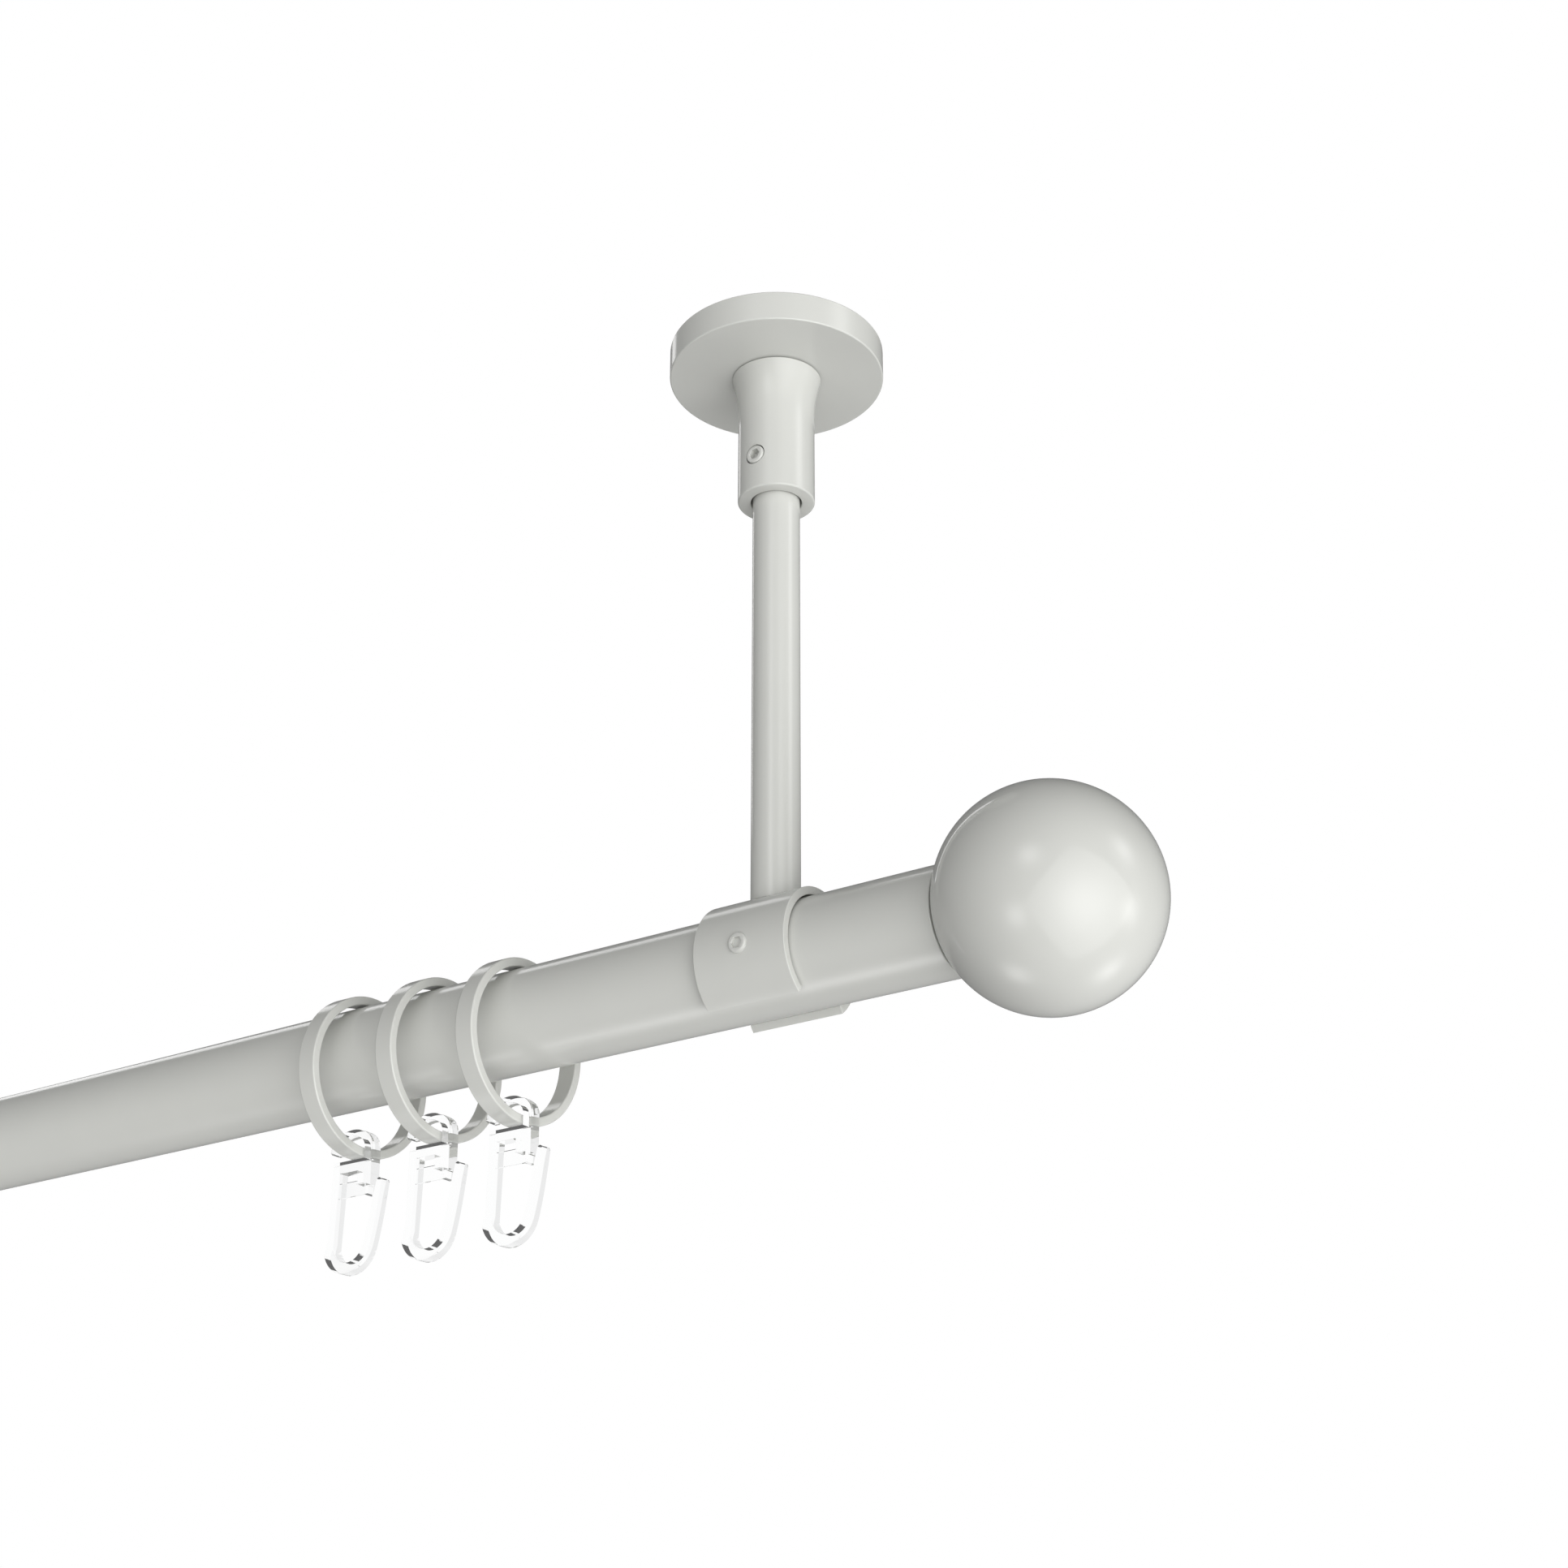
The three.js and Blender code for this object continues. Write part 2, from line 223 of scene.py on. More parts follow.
def outline_plate(name, outline, depth, bevel, axis, origin):
    """Makes a flat outline solid, with small rounds on its edges. Its depth is along the axis,
    half to each side of the origin."""
    curve = bpy.data.curves.new(name, "CURVE")
    curve.dimensions = "2D"
    curve.fill_mode = "BOTH"
    curve.extrude = depth / 2 - bevel
    curve.bevel_depth = bevel
    curve.bevel_resolution = 2
    curve.offset = -bevel
    spline = curve.splines.new("POLY")
    spline.points.add(len(outline) - 1)
    for point, (x, y) in zip(spline.points, outline):
        point.co = (x, y, 0, 1)
    spline.use_cyclic_u = True
    drawn = new_object(name + "_outline", curve)
    bpy.context.view_layer.update()
    evaluated = drawn.evaluated_get(bpy.context.evaluated_depsgraph_get())
    mesh = bpy.data.meshes.new_from_object(evaluated)
    bm = bmesh.new()
    bm.from_mesh(mesh)
    bpy.data.objects.remove(drawn)
    bpy.data.curves.remove(curve)
    bpy.data.meshes.remove(mesh)
    bmesh.ops.remove_doubles(bm, verts=bm.verts, dist=MERGE_WITHIN)
    bmesh.ops.dissolve_degenerate(bm, edges=bm.edges, dist=SHORTEST_EDGE)
    return placed_object(name, bm, axis, origin)


def block(name, low, high):
    """A plain block, only used to join to something else."""
    bm = bmesh.new()
    bmesh.ops.create_cube(bm, size=1.0)
    bmesh.ops.scale(bm, vec=high - low, verts=bm.verts)
    return placed_object(name, bm, "z", (low + high) / 2)


SOCKET_SEGMENTS = 48  # round a screw with a socket; a multiple of 6
SOCKET_EDGE = 0.05 * MM
SCREW_CENTRE = 0.001 * MM  # a turned screw's far end closes on this small circle
DRILL_TIP_RADIUS = 0.35  # a socket's drilled bottom, as shares of half its width
DRILL_TIP_DEPTH = 0.45


def socket_screw(name, body, across_flats, depth, axis, origin):
    """A turned screw whose outer end, at height 0, has a hexagon socket. body is the rest of
    its profile, from the far end up to the rim of the face."""
    flat = across_flats / 2
    rows = [(radius, height, False) for radius, height in body]
    rows += [
        (body[-1][0] - SOCKET_EDGE, 0, False),
        (flat + SOCKET_EDGE, 0, True),
        (flat, -SOCKET_EDGE, True),
        (flat, -depth, True),
        (flat * DRILL_TIP_RADIUS, -depth - flat * DRILL_TIP_DEPTH, False),
    ]
    bm = bmesh.new()
    made = []
    for radius, height, is_hexagon in rows:
        row = []
        for step in range(SOCKET_SEGMENTS):
            angle = math.tau * step / SOCKET_SEGMENTS
            off_flat = angle % (math.pi / 3) - math.pi / 6
            reach = radius / math.cos(off_flat) if is_hexagon else radius
            row.append(bm.verts.new((reach * math.cos(angle), reach * math.sin(angle), height)))
        made.append(row)
    for lower, upper in zip(made, made[1:]):
        for step in range(SOCKET_SEGMENTS):
            after = (step + 1) % SOCKET_SEGMENTS
            bm.faces.new([lower[step], lower[after], upper[after], upper[step]])
    bm.faces.new(list(reversed(made[0])))
    bm.faces.new(made[-1])
    return placed_object(name, bm, axis, origin)


def combine(piece, tool, operation="DIFFERENCE"):
    """Cuts one object out of another, or joins them, and removes the tool."""
    modifier = piece.modifiers.new("combine", "BOOLEAN")
    modifier.operation = operation
    modifier.solver = "EXACT"
    modifier.object = tool
    bpy.context.view_layer.update()
    evaluated = piece.evaluated_get(bpy.context.evaluated_depsgraph_get())
    mesh = bpy.data.meshes.new_from_object(evaluated)
    piece.modifiers.clear()
    piece.data = mesh
    bpy.data.objects.remove(tool)


# ---- materials --------------------------------------------------------------
def new_material(name):
    material = bpy.data.materials.new(name)
    material.use_nodes = True
    nodes = material.node_tree.nodes
    return material, nodes, material.node_tree.links, nodes["Principled BSDF"]


def noise(nodes, links, scale, detail):
    place = nodes.new("ShaderNodeTexCoord")
    texture = nodes.new("ShaderNodeTexNoise")
    texture.inputs["Scale"].default_value = scale
    texture.inputs["Detail"].default_value = detail
    links.new(place.outputs["Object"], texture.inputs["Vector"])
    return texture


def vary_colour(nodes, links, shader, texture, low, high):
    ramp = nodes.new("ShaderNodeValToRGB")
    ramp.color_ramp.elements[0].color = (*low, 1)
    ramp.color_ramp.elements[1].color = (*high, 1)
    links.new(texture.outputs["Fac"], ramp.inputs["Fac"])
    links.new(ramp.outputs["Color"], shader.inputs["Base Color"])


def vary_roughness(nodes, links, shader, texture, low, high):
    spread = nodes.new("ShaderNodeMapRange")
    spread.inputs["To Min"].default_value = low
    spread.inputs["To Max"].default_value = high
    links.new(texture.outputs["Fac"], spread.inputs["Value"])
    links.new(spread.outputs["Result"], shader.inputs["Roughness"])


def add_bump(nodes, links, shader, texture, distance):
    bump = nodes.new("ShaderNodeBump")
    bump.inputs["Distance"].default_value = distance
    links.new(texture.outputs["Fac"], bump.inputs["Height"])
    links.new(bump.outputs["Normal"], shader.inputs["Normal"])


LACQUER = (0.60, 0.605, 0.575)  # light warm grey
CLOUDINESS = 0.015  # how far the lacquer's colour varies, as a share of it
ROUGHNESS_SPREAD = 0.01
LACQUER_IOR = 1.5
PLASTIC_IOR = 1.18  # low, so that the clear hooks have narrow dark edges


def shade(colour, factor):
    return tuple(channel * factor for channel in colour)


def lacquer(name, roughness, peel):
    """Light warm-grey lacquer: a little cloudiness, and a faint orange-peel surface whose
    height is peel."""
    material, nodes, links, shader = new_material(name)
    clouds = noise(nodes, links, scale=120, detail=1)
    pale, deep = shade(LACQUER, 1 + CLOUDINESS), shade(LACQUER, 1 - CLOUDINESS)
    vary_colour(nodes, links, shader, clouds, deep, pale)
    smooth, rough = roughness - ROUGHNESS_SPREAD, roughness + ROUGHNESS_SPREAD
    vary_roughness(nodes, links, shader, clouds, smooth, rough)
    add_bump(nodes, links, shader, noise(nodes, links, scale=1400, detail=1), distance=peel)
    shader.inputs["IOR"].default_value = LACQUER_IOR
    return material


def clear_plastic():
    """Polished clear moulding, with the slightest waviness."""
    material, nodes, links, shader = new_material("clear_plastic")
    waves = noise(nodes, links, scale=250, detail=1)
    vary_colour(nodes, links, shader, waves, (0.985, 0.99, 0.99), (1.0, 1.0, 1.0))
    vary_roughness(nodes, links, shader, waves, 0.0, 0.02)
    add_bump(nodes, links, shader, waves, distance=0.01 * MM)
    shader.inputs["IOR"].default_value = PLASTIC_IOR
    shader.inputs["Transmission Weight"].default_value = 1.0
    return material


def zinc_steel():
    """Zinc-plated steel with a fine grain."""
    material, nodes, links, shader = new_material("zinc_steel")
    grain = noise(nodes, links, scale=700, detail=4)
    vary_colour(nodes, links, shader, grain, (0.50, 0.51, 0.52), (0.62, 0.63, 0.64))
    vary_roughness(nodes, links, shader, grain, 0.25, 0.42)
    add_bump(nodes, links, shader, grain, distance=0.01 * MM)
    shader.inputs["Metallic"].default_value = 1.0
    return material


def grey_nylon():
    """Matt moulded nylon."""
    material, nodes, links, shader = new_material("grey_nylon")
    grain = noise(nodes, links, scale=1500, detail=2)
    vary_colour(nodes, links, shader, grain, (0.40, 0.40, 0.38), (0.46, 0.46, 0.44))
    vary_roughness(nodes, links, shader, grain, 0.5, 0.65)
    add_bump(nodes, links, shader, grain, distance=0.02 * MM)
    return material


satin = lacquer("satin_lacquer", roughness=0.16, peel=0.0005 * MM)
gloss = lacquer("gloss_lacquer", roughness=0.06, peel=0.0003 * MM)
clear = clear_plastic()
steel = zinc_steel()
nylon = grey_nylon()


# ---- ceiling mount ----------------------------------------------------------
def ceiling_plate(side):
    """The hidden disc, with its boss and two countersunk holes."""
    boss_edge = 0.5 * MM
    profile = soften([
        (0, BOSS_END),
        (BOSS_RADIUS, BOSS_END, boss_edge),
        (BOSS_RADIUS, -PLATE_THICKNESS, EDGE),
        (PLATE_RADIUS, -PLATE_THICKNESS, EDGE),
        (PLATE_RADIUS, 0, EDGE),
        (0, 0),
    ])
    piece = lathe(f"plate_{side}", profile, origin=(BRACKET_X[side], 0, 0), segments=96)
    hole, head, sink, spacing = 2.2 * MM, 4.2 * MM, 2.0 * MM, 24 * MM
    past = 1.0 * MM  # how far the cutter stands out of the plate
    for way in (-1, 1):
        cutter = lathe(
            "countersink",
            [
                (0, -PLATE_THICKNESS - past),
                (head + past, -PLATE_THICKNESS - past),
                (head, -PLATE_THICKNESS),
                (hole, -PLATE_THICKNESS + sink),
                (hole, past),
                (0, past),
            ],
            origin=(BRACKET_X[side], way * spacing / 2, 0),
            segments=48,
        )
        combine(piece, cutter)
    finish_piece(piece, f"ceiling_plate_{side}", steel)


def rosette(side):
    """The cover disc: a shallow cup with softly rounded rims."""
    node = f"rosette_{side}"
    radius = size(node).x / 2
    height = size(node).z
    bore = BOSS_RADIUS + GAP
    inner_corner = 0.4 * MM
    profile = soft_loop([
        (bore, -height, FINE_EDGE),
        (radius, -height, EDGE),
        (radius, 0, EDGE),
        (radius - ROSETTE_WALL, 0, EDGE),
        (radius - ROSETTE_WALL, -height + ROSETTE_WALL, inner_corner),
        (bore, -height + ROSETTE_WALL, FINE_EDGE),
    ])
    piece = lathe(f"cover_{side}", profile, origin=(BRACKET_X[side], 0, 0), segments=160)
    finish_piece(piece, node, satin)


def collar(side):
    """The flared sleeve, bored for the drop tube, with a hole for its grub screw."""
    node = f"collar_{side}"
    low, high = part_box(node)
    flare_radius = size(node).x / 2
    flare_steps = 16
    flare = []
    for step in range(flare_steps + 1):
        up = step / flare_steps
        flare.append(
            (COLLAR_RADIUS + (flare_radius - COLLAR_RADIUS) * up * up,
             FLARE_END + (high.z - FLARE_END) * up)
        )
    stem_clearance, screw_clearance = 0.35 * MM, 0.2 * MM
    stem_bore = STEM_RADIUS + stem_clearance
    boss_bore = BOSS_RADIUS + GAP
    shoulder = BOSS_END - GAP
    end_round = 0.35 * MM
    profile = soften([
        (stem_bore, shoulder),
        (stem_bore, low.z, EDGE),
        (COLLAR_RADIUS, low.z, end_round),
        *flare,
        (boss_bore, high.z),
        (boss_bore, shoulder),
        (stem_bore, shoulder),
    ])
    piece = lathe(f"sleeve_{side}", profile, origin=(BRACKET_X[side], 0, 0), segments=160)
    screw = middle(f"collar_grub_screw_{side}")
    hole = SCREW_RADIUS + screw_clearance
    cutter_length = 10 * MM
    cutter_start = COLLAR_RADIUS + 2 * MM
    cutter = lathe(
        "screw_hole",
        [(0, 0), (hole, 0), (hole, cutter_length), (0, cutter_length)],
        axis="y",
        origin=(screw.x, -cutter_start, screw.z),
        segments=48,
    )
    combine(piece, cutter)
    finish_piece(piece, node, satin)


def grub_screw(node):
    """A headless screw in the front of a collar or saddle, its hexagon socket facing -Y."""
    low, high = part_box(node)
    length = high.y - low.y
    edge = 0.4 * MM
    side = soften([(0, -length), (SCREW_RADIUS, -length, edge), (SCREW_RADIUS, 0, edge), (0, 0)])
    body = [tuple(point) for point in side[1:-1]]
    face = Vector(((low.x + high.x) / 2, low.y, (low.z + high.z) / 2))
    piece = socket_screw(
        node + "_fine", body, across_flats=2.0 * MM, depth=1.5 * MM, axis="-y", origin=face
    )
    finish_piece(piece, node, satin, sharp_angle=30)


for side in SIDES:
    ceiling_plate(side)
    rosette(side)
    collar(side)
    grub_screw(f"collar_grub_screw_{side}")
    grub_screw(f"saddle_grub_screw_{side}")


# ---- hanger -----------------------------------------------------------------
def drop_tube(side):
    """The drop tube. Its lower end is coped to sit on the saddle."""
    node = f"drop_tube_{side}"
    low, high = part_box(node)
    inner = STEM_RADIUS - STEM_WALL
    seat = SADDLE_OUTER + 0.05 * MM
    foot = low.z
    coped_length = 6 * MM

    def cope(radius, height, angle):
        if height > foot + coped_length / 2:
            return height
        return ROD_AXIS.z + math.sqrt(seat**2 - (radius * math.sin(angle)) ** 2) + height - foot

    profile = soft_loop([
        (inner, foot),
        (STEM_RADIUS, foot),
        (STEM_RADIUS, foot + coped_length),
        (STEM_RADIUS, high.z, EDGE),
        (inner, high.z, FINE_EDGE),
        (inner, foot + coped_length),
    ])
    origin = (BRACKET_X[side], 0, 0)
    piece = lathe(f"stem_{side}", profile, origin=origin, segments=96, reshape=cope)
    finish_piece(piece, node, satin)


def tube_insert(side):
    """The plug in the drop tube's lower end, which takes the saddle screw."""
    node = f"tube_insert_{side}"
    low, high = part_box(node)
    outer = size(node).x / 2
    bore = 1.9 * MM
    profile = soft_loop([
        (bore, low.z, FINE_EDGE),
        (outer, low.z, EDGE),
        (outer, high.z, EDGE),
        (bore, high.z, FINE_EDGE),
    ])
    piece = lathe(f"insert_{side}", profile, origin=(BRACKET_X[side], 0, 0), segments=64)
    finish_piece(piece, node, steel)


def saddle(side):
    """The C-shaped clip round the rod, with softly broken edges."""
    node = f"saddle_{side}"
    start = MOUTH_HALF_ANGLE - 90
    end = 270 - MOUTH_HALF_ANGLE
    steps = 96
    outline = arc((0, 0), (SADDLE_OUTER, SADDLE_OUTER), start, end, steps)
    outline += arc((0, 0), (SADDLE_INNER, SADDLE_INNER), end, start, steps)
    origin = (middle(node).x, 0, ROD_AXIS.z)
    width = size(node).x
    piece = outline_plate(
        f"clip_{side}", outline, width, bevel=0.15 * MM, axis="x", origin=origin
    )
    finish_piece(piece, node, satin)


def saddle_screw(side):
    """The countersunk screw from inside the saddle up into the drop tube."""
    node = f"saddle_screw_{side}"
    low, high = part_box(node)
    length = high.z - low.z
    head = size(node).x / 2
    head_height = 1.2 * MM
    rim = 0.2 * MM
    shank = 1.6 * MM
    body = [
        (SCREW_CENTRE, -length),
        (shank - EDGE, -length),
        (shank, -length + EDGE),
        (shank, -head_height),
        (head, -rim),
        (head, 0),
    ]
    face = (BRACKET_X[side], 0, low.z)
    piece = socket_screw(
        f"countersunk_{side}", body, across_flats=2.2 * MM, depth=0.7 * MM, axis="-z", origin=face
    )
    finish_piece(piece, node, steel, sharp_angle=30)


for side in SIDES:
    drop_tube(side)
    tube_insert(side)
    saddle(side)
    saddle_screw(side)


# ---- rod and finials --------------------------------------------------------
OUTWARD = {"right": "x", "left": "-x"}
INWARD = {"right": "-x", "left": "x"}
ROD_END = {"right": rod_high.x, "left": -rod_low.x}  # how far out the rod reaches


def rod_tube():
    """The rod: a plain tube with broken edges."""
    inner = ROD_RADIUS - ROD_WALL
    profile = soft_loop([
        (inner, rod_low.x, FINE_EDGE),
        (ROD_RADIUS, rod_low.x, FINE_EDGE),
        (ROD_RADIUS, rod_high.x, FINE_EDGE),
        (inner, rod_high.x, FINE_EDGE),
    ])
    piece = lathe("rod", profile, axis="x", origin=ROD_AXIS, segments=160)
    finish_piece(piece, "rod_tube", satin)


def finial_ball(side):
    """A ball with a flat face to the rod, and a bore for its screw. Heights run outwards."""
    node = f"finial_ball_{side}"
    low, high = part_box(node)
    radius = size(node).z / 2
    centre = max(abs(low.x), abs(high.x)) - radius
    face = ROD_END[side] + GAP
    bore = FINIAL_SCREW_RADIUS + GAP
    bore_end = face + 16 * MM
    face_radius = math.sqrt(radius**2 - (face - centre) ** 2)
    start = math.degrees(math.atan2(face_radius, face - centre))
    sphere = arc((centre, 0), (radius, radius), start, 0, steps=72)
    outside = [(across, along) for along, across in sphere]
    outside[-1] = (0, outside[-1][1])
    profile = soften([(0, bore_end), (bore, bore_end), (bore, face, FINE_EDGE), *outside])
    piece = lathe(
        f"ball_{side}", profile, axis=OUTWARD[side], origin=ROD_AXIS, segments=160
    )
    finish_piece(piece, node, gloss)


def finial_plug(side):
    """The ribbed plug inside the rod, bored for its screw's shank and head."""
    node = f"finial_plug_{side}"
    outer = size(node).z / 2
    rod_end = ROD_END[side]
    inside = rod_end - size(node).x
    bore = FINIAL_SCREW_RADIUS + GAP
    head_bore = FINIAL_HEAD_RADIUS + GAP
    head_bore_end = inside + 6 * MM
    groove = 0.5 * MM
    rib_round = 0.15 * MM
    pitch = 8 * MM
    ribs = []
    place = inside + 1.0 * MM
    while place + pitch < rod_end:
        rib_end = place + pitch / 2
        ribs += [(outer - groove, place, rib_round), (outer, place, rib_round)]
        ribs += [(outer, rib_end, rib_round), (outer - groove, rib_end, rib_round)]
        place += pitch
    profile = soft_loop([
        (head_bore, inside, FINE_EDGE),
        (outer - groove, inside, FINE_EDGE),
        *ribs,
        (outer - groove, rod_end, FINE_EDGE),
        (bore, rod_end, FINE_EDGE),
        (bore, head_bore_end),
        (head_bore, head_bore_end),
    ])
    piece = lathe(f"plug_{side}", profile, axis=OUTWARD[side], origin=ROD_AXIS, segments=96)
    finish_piece(piece, node, nylon)


def finial_screw(side):
    """The cap screw that goes outwards through the plug into the ball."""
    node = f"finial_screw_{side}"
    low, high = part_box(node)
    length = high.x - low.x
    head = size(node).z / 2
    shank = FINIAL_SCREW_RADIUS
    tip = 0.8 * MM
    body = [
        (SCREW_CENTRE, -length),
        (shank - tip, -length),
        (shank, -length + tip),
        (shank, -FINIAL_HEAD_HEIGHT),
        (head, -FINIAL_HEAD_HEIGHT),
        (head, -EDGE),
        (head - EDGE, 0),
    ]
    head_x = low.x if side == "right" else high.x
    piece = socket_screw(
        f"cap_screw_{side}",
        body,
        across_flats=4.0 * MM,
        depth=2.2 * MM,
        axis=INWARD[side],
        origin=(head_x, 0, ROD_AXIS.z),
    )
    finish_piece(piece, node, steel, sharp_angle=30)


rod_tube()
for side in SIDES:
    finial_ball(side)
    finial_plug(side)
    finial_screw(side)


# ---- rings and hooks --------------------------------------------------------
def curtain_ring(number):
    """A flat-section ring with softly broken edges."""
    node = f"ring_{number}"
    outer = size(node).z / 2
    half = size(node).x / 2
    inner = outer - RING_WALL
    profile = soft_loop([
        (inner, -half, EDGE),
        (outer, -half, EDGE),
        (outer, half, EDGE),
        (inner, half, EDGE),
    ])
    piece = lathe(f"round_ring_{number}", profile, axis="x", origin=middle(node), segments=192)
    finish_piece(piece, node, satin)


def bend(start, handle, end):
    """Points of a quadratic curve, without its first point."""
    points = []
    for step in range(1, BEND_STEPS + 1):
        t = step / BEND_STEPS
        points.append(tuple(
            (1 - t) ** 2 * a + 2 * t * (1 - t) * b + t**2 * c
            for a, b, c in zip(start, handle, end)
        ))
    return points


# The hook's measures are in millimetres from the middle of the ring's wall.
SHANK_LEFT, SHANK_RIGHT = -5.35, -3.45
LEG_RIGHT, LEG_FOOT = 4.4, -8.75
WEB_TOP, WEB_THICKNESS, WEB_RECESS = -5.76, 0.4, 0.15
WEB_INTO_SHANK, WEB_OFF_LEG_SIDE, WEB_OFF_LEG_FOOT = 0.3, 0.3, 0.02


def hook_outline():
    """The hook's outline in (x, z), from the right of its eye."""
    eye, eye_outer, eye_inner = (-0.8, 0.8), (5.5, 3.95), (3.5, 2.7)
    mouth_left, mouth_right, mouth_z = -5.9, -4.7, 0.4
    bar_right, bar_top, bar_foot = 2.75, -1.4, -3.7
    shank_foot = -17.2
    bowl, bowl_radius = (-0.25, -17.7), 6.05
    bowl_inside, inside_radius = (0.1, -17.7), 3.95
    tip, tip_radius = (7.05, -6.6), 0.65
    tooth_left, tooth_right, tooth_foot = 1.15, 3.3, -6.45
    neck_right, neck_foot = 4.9, -7.3

    # Over the eye, round its open end and back inside it.
    outline = arc(eye, eye_outer, 0, 180, steps=40)
    outline += [(mouth_left, mouth_z), (mouth_right, mouth_z)]
    outline += arc(eye, eye_inner, 180, 0, steps=32)
    # Along the cross-bar, down the shank and round the bowl.
    outline += [(bar_right, bar_top), (SHANK_LEFT, bar_top), (SHANK_LEFT, shank_foot)]
    outline += arc(bowl, (bowl_radius, bowl_radius), 195, 347, steps=44)
    # Up the springy arm, over its tip and down again inside.
    outline += bend(outline[-1], (6.7, -14.8), (7.4, -9))
    outline += [(7.7, -6.7)]
    outline += arc(tip, (tip_radius, tip_radius), 0, 180, steps=12)
    outline += [(5.85, -9)]
    outline += bend(outline[-1], (5, -15), (3.965, -18.7))
    outline += arc(bowl_inside, (inside_radius, inside_radius), -20, -170, steps=40)
    # Up the shank, along the bar and its tooth, and up the right leg.
    outline += [(SHANK_RIGHT, bar_foot), (tooth_left, bar_foot), (tooth_left, tooth_foot)]
    outline += [(tooth_right, tooth_foot), (tooth_right, LEG_FOOT), (LEG_RIGHT, LEG_FOOT)]
    outline += [(LEG_RIGHT, neck_foot), (neck_right, neck_foot)]
    return outline


def pleat_hook(number):
    """The clear hook, with the thin web between its shank and right leg."""
    node = f"hook_{number}"
    ring = f"ring_{number}"
    place = Vector((middle(ring).x, 0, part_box(ring)[0].z + RING_WALL / 2))
    depth = size(node).y
    outline = [(x * MM, z * MM) for x, z in hook_outline()]
    piece = outline_plate(
        f"clear_hook_{number}", outline, depth, bevel=0.05 * MM, axis="-y", origin=place
    )
    web_front = -depth / 2 + WEB_RECESS * MM
    web_back = web_front + WEB_THICKNESS * MM
    web_left = (SHANK_RIGHT - WEB_INTO_SHANK) * MM
    web_right = (LEG_RIGHT - WEB_OFF_LEG_SIDE) * MM
    low = Vector((web_left, web_front, (LEG_FOOT + WEB_OFF_LEG_FOOT) * MM))
    high = Vector((web_right, web_back, WEB_TOP * MM))
    combine(piece, block("web", place + low, place + high), "UNION")
    finish_piece(piece, node, clear, sharp_angle=50)


for number in RINGS:
    curtain_ring(number)
    pleat_hook(number)


# ---- camera -----------------------------------------------------------------
CAMERA_AT = Vector((0.2315, -0.3385, -0.2800))
CAMERA_YAW = math.radians(34.16)
CAMERA_PITCH = math.radians(24.34)
camera_data = bpy.data.cameras.new("camera")
camera_data.lens = 56.02
camera_data.sensor_width = 36
camera_data.clip_start = 0.01
camera = new_object("camera", camera_data)
camera.location = CAMERA_AT
camera.rotation_euler = (math.pi / 2 + CAMERA_PITCH, 0, CAMERA_YAW)
scene.camera = camera
bpy.context.view_layer.update()


def seen_from_camera(direction):
    """Turns (right, up, towards the camera) into a direction in the scene."""
    return (camera.matrix_world.to_3x3() @ Vector(direction)).normalized()


# ---- floor ------------------------------------------------------------------
FLOOR_Z = -1.6
FLOOR_HALF = 40.0


def pale_floor():
    """A plain floor that only the camera sees, so that it doesn't shut out light from below."""
    corners = [
        (x * FLOOR_HALF, y * FLOOR_HALF, FLOOR_Z) for x, y in ((-1, -1), (1, -1), (1, 1), (-1, 1))
    ]
    mesh = bpy.data.meshes.new("floor")
    mesh.from_pydata(corners, [], [(0, 1, 2, 3)])
    material, nodes, links, shader = new_material("pale_floor")
    grain = noise(nodes, links, scale=6, detail=4)
    vary_colour(nodes, links, shader, grain, (0.78, 0.78, 0.77), (0.82, 0.82, 0.81))
    vary_roughness(nodes, links, shader, grain, 0.7, 0.8)
    shader.inputs["Emission Color"].default_value = (1.0, 0.99, 0.98, 1)
    shader.inputs["Emission Strength"].default_value = 0.75
    mesh.materials.append(material)
    floor = new_object("floor", mesh)
    for kind in ("diffuse", "glossy", "transmission", "shadow"):
        setattr(floor, f"visible_{kind}", False)


# ---- light ------------------------------------------------------------------
# The slope: light that grows evenly towards one side of the surroundings.
SLOPE, SLOPE_MIDDLE, SLOPE_LEAST = (-0.125, -0.15, 0.11), 0.11, 0.02

# The screen: square, standing on a corner, and brightest in its middle.
SCREEN_TOWARDS = (0.807, -0.424, -0.411)
SCREEN_HALF_DIAGONAL = 1.41  # at unit distance
SCREEN_SOFT_EDGE = 0.03  # as a share of the half diagonal
SCREEN_LEAST_COSINE = 0.02  # keeps the screen in front of its own plane
SCREEN_BASE, SCREEN_PEAK, SCREEN_SHARPNESS = 0.5, 3.15, 6.4

# A low glow from behind the object.
BACK_TOWARDS, BACK_PEAK, BACK_SHARPNESS = (0.063, 0.887, -0.452), 0.7, 4

# Six soft spots, as (right, up, towards the camera).
SPOT_PEAK, SPOT_SHARPNESS = 2.6, 60
SPOTS = (
    (-0.383, 0.680, 0.626),
    (0.831, 0.554, 0.043),
    (-0.604, -0.244, 0.759),
    (0.958, -0.161, 0.235),
    (-0.402, -0.913, 0.074),
    (0.632, -0.773, -0.053),
)

# What clear plastic shows apart from white: (direction, half angle, soft edge, tone), with
# angles in degrees.
CARDS = (
    ((-0.89, 0.37, 0.28), 16, 8, 0.84),
    ((-0.65, 0.71, -0.27), 14, 2, 0.12),
    ((0, 0.75, -0.62), 18, 2, 0.12),
    ((-0.05, 0.75, 0.62), 20, 2, 0.12),
)


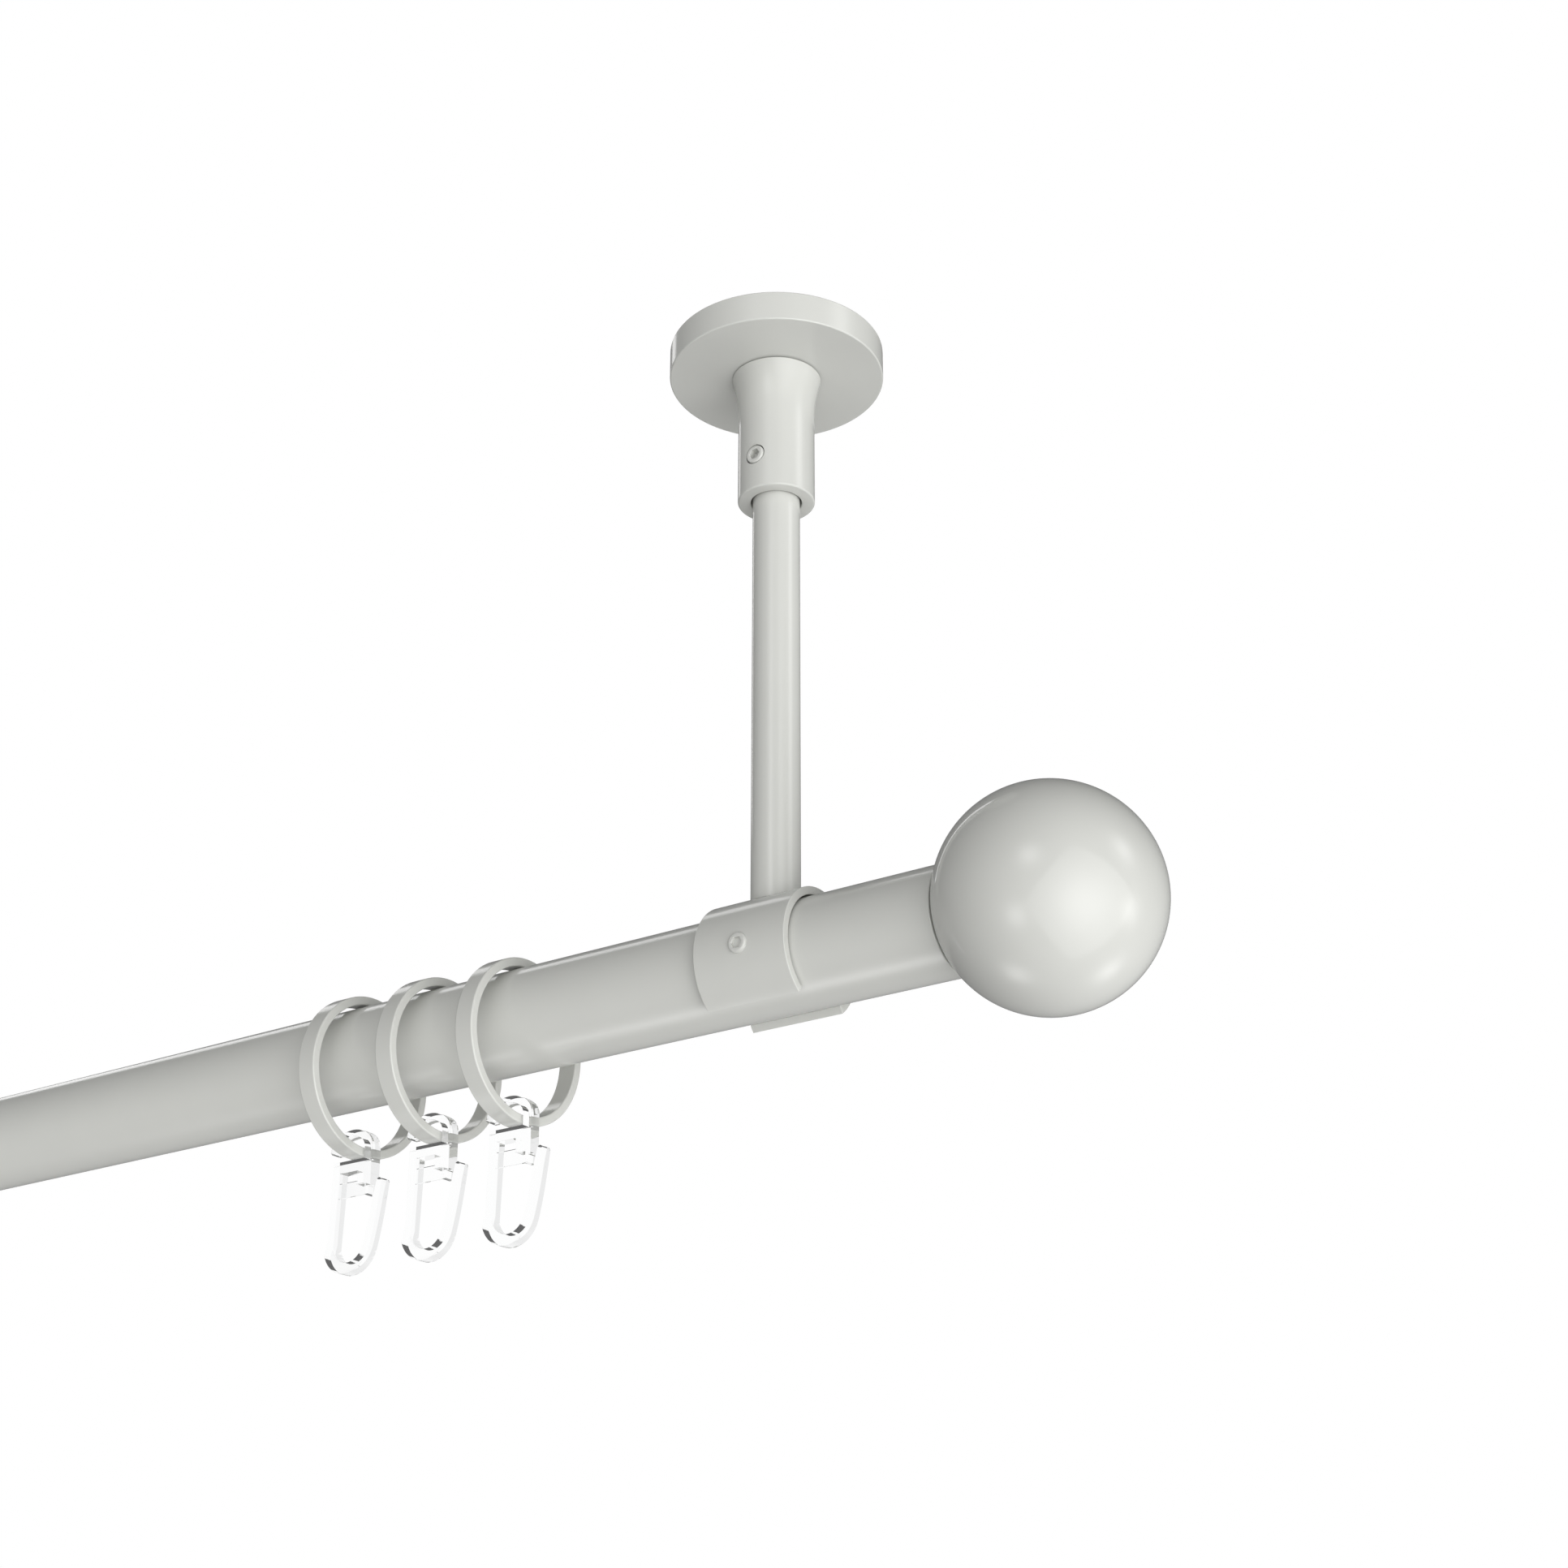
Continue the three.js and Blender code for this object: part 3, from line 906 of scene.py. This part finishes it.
def studio_world():
    """White where the camera looks past the object. The light that falls on the object is a
    slope, a screen in front on the right, a glow behind and six spots. What shows through
    clear plastic is white with a few dark cards, which draw the plastic's edges."""
    world = bpy.data.worlds.new("studio")
    world.use_nodes = True
    scene.world = world
    nodes, links = world.node_tree.nodes, world.node_tree.links
    direction = nodes.new("ShaderNodeTexCoord").outputs["Generated"]

    def connect(value, socket):
        """Puts a constant on a socket, or links another node's output to it."""
        if isinstance(value, (int, float)):
            socket.default_value = value
        else:
            links.new(value, socket)

    def math_node(operation, *values):
        node = nodes.new("ShaderNodeMath")
        node.operation = operation
        for socket, value in zip(node.inputs, values):
            connect(value, socket)
        return node.outputs[0]

    def add(first, second):
        return math_node("ADD", first, second)

    def ramp(value, start, end, start_tone=0.0, end_tone=1.0):
        """Goes from one tone to the other as value goes from start to end."""
        node = nodes.new("ShaderNodeMapRange")
        node.inputs["From Min"].default_value = start
        node.inputs["From Max"].default_value = end
        node.inputs["To Min"].default_value = start_tone
        node.inputs["To Max"].default_value = end_tone
        links.new(value, node.inputs["Value"])
        return node.outputs["Result"]

    def along(vector):
        """How far each direction points along a vector."""
        node = nodes.new("ShaderNodeVectorMath")
        node.operation = "DOT_PRODUCT"
        links.new(direction, node.inputs[0])
        node.inputs[1].default_value = vector
        return node.outputs["Value"]

    def glow(towards, peak, sharpness):
        """Light that fades smoothly away from one direction."""
        aside = math_node("SUBTRACT", along(Vector(towards).normalized()), 1.0)
        fading = math_node("EXPONENT", math_node("MULTIPLY", aside, sharpness))
        return math_node("MULTIPLY", fading, peak)

    def screen(towards, half_diagonal):
        """1 on a square screen at unit distance that stands on its corner, and 0 outside it."""
        normal = Vector(towards).normalized()
        across = seen_from_camera((0, 1, 0)).cross(normal).normalized()
        nearness = math_node("MAXIMUM", along(normal), SCREEN_LEAST_COSINE)
        offsets = [
            math_node("DIVIDE", math_node("ABSOLUTE", along(axis)), nearness)
            for axis in (across, normal.cross(across))
        ]
        outer = half_diagonal * (1 + SCREEN_SOFT_EDGE)
        inner = half_diagonal * (1 - SCREEN_SOFT_EDGE)
        return ramp(add(*offsets), outer, inner)

    def card(towards, half_angle, soft_edge, tone):
        """The given tone on a round patch of the surroundings, and 1 outside it."""
        outer = math.cos(math.radians(half_angle + soft_edge))
        inner = math.cos(math.radians(half_angle))
        return ramp(along(Vector(towards).normalized()), outer, inner, 1.0, tone)

    slope = math_node("MAXIMUM", add(along(SLOPE), SLOPE_MIDDLE), SLOPE_LEAST)
    lit = add(glow(SCREEN_TOWARDS, SCREEN_PEAK, SCREEN_SHARPNESS), SCREEN_BASE)
    on_screen = screen(SCREEN_TOWARDS, SCREEN_HALF_DIAGONAL)
    strength = add(slope, math_node("MULTIPLY", on_screen, lit))
    strength = add(strength, glow(BACK_TOWARDS, BACK_PEAK, BACK_SHARPNESS))
    for spot in SPOTS:
        strength = add(strength, glow(seen_from_camera(spot), SPOT_PEAK, SPOT_SHARPNESS))
    through_plastic = 1.0
    for towards, half_angle, soft_edge, tone in CARDS:
        dark = card(towards, half_angle, soft_edge, tone)
        through_plastic = math_node("MINIMUM", through_plastic, dark)

    path = nodes.new("ShaderNodeLightPath")
    for ray, seen in (("Is Transmission Ray", through_plastic), ("Is Camera Ray", 1.0)):
        node = nodes.new("ShaderNodeMix")
        links.new(path.outputs[ray], node.inputs["Factor"])
        links.new(strength, node.inputs["A"])
        connect(seen, node.inputs["B"])
        strength = node.outputs["Result"]
    background = nodes["Background"]
    background.inputs["Color"].default_value = (1, 1, 1, 1)
    links.new(strength, background.inputs["Strength"])


def strip_light():
    """A long softbox up behind the object, which draws a line of light on its top edges."""
    one_end = seen_from_camera((-0.249, 0.682, -0.688))
    other_end = seen_from_camera((-0.506, 0.070, -0.860))
    distance, length, width = 1.2, 0.9, 0.22
    radiance = 1.6
    away = (one_end + other_end).normalized()
    widthwise = away.cross(one_end - other_end).normalized()
    turn = Matrix((widthwise.cross(away), widthwise, away)).transposed()
    data = bpy.data.lights.new("strip", "AREA")
    data.shape = "RECTANGLE"
    data.size = length
    data.size_y = width
    data.energy = radiance * math.pi * length * width
    light = new_object("strip", data)
    light.matrix_world = Matrix.Translation(ROD_AXIS + away * distance) @ turn.to_4x4()
    light.visible_camera = False
    light.visible_transmission = False


pale_floor()
studio_world()
strip_light()

scene.view_settings.view_transform = "Standard"
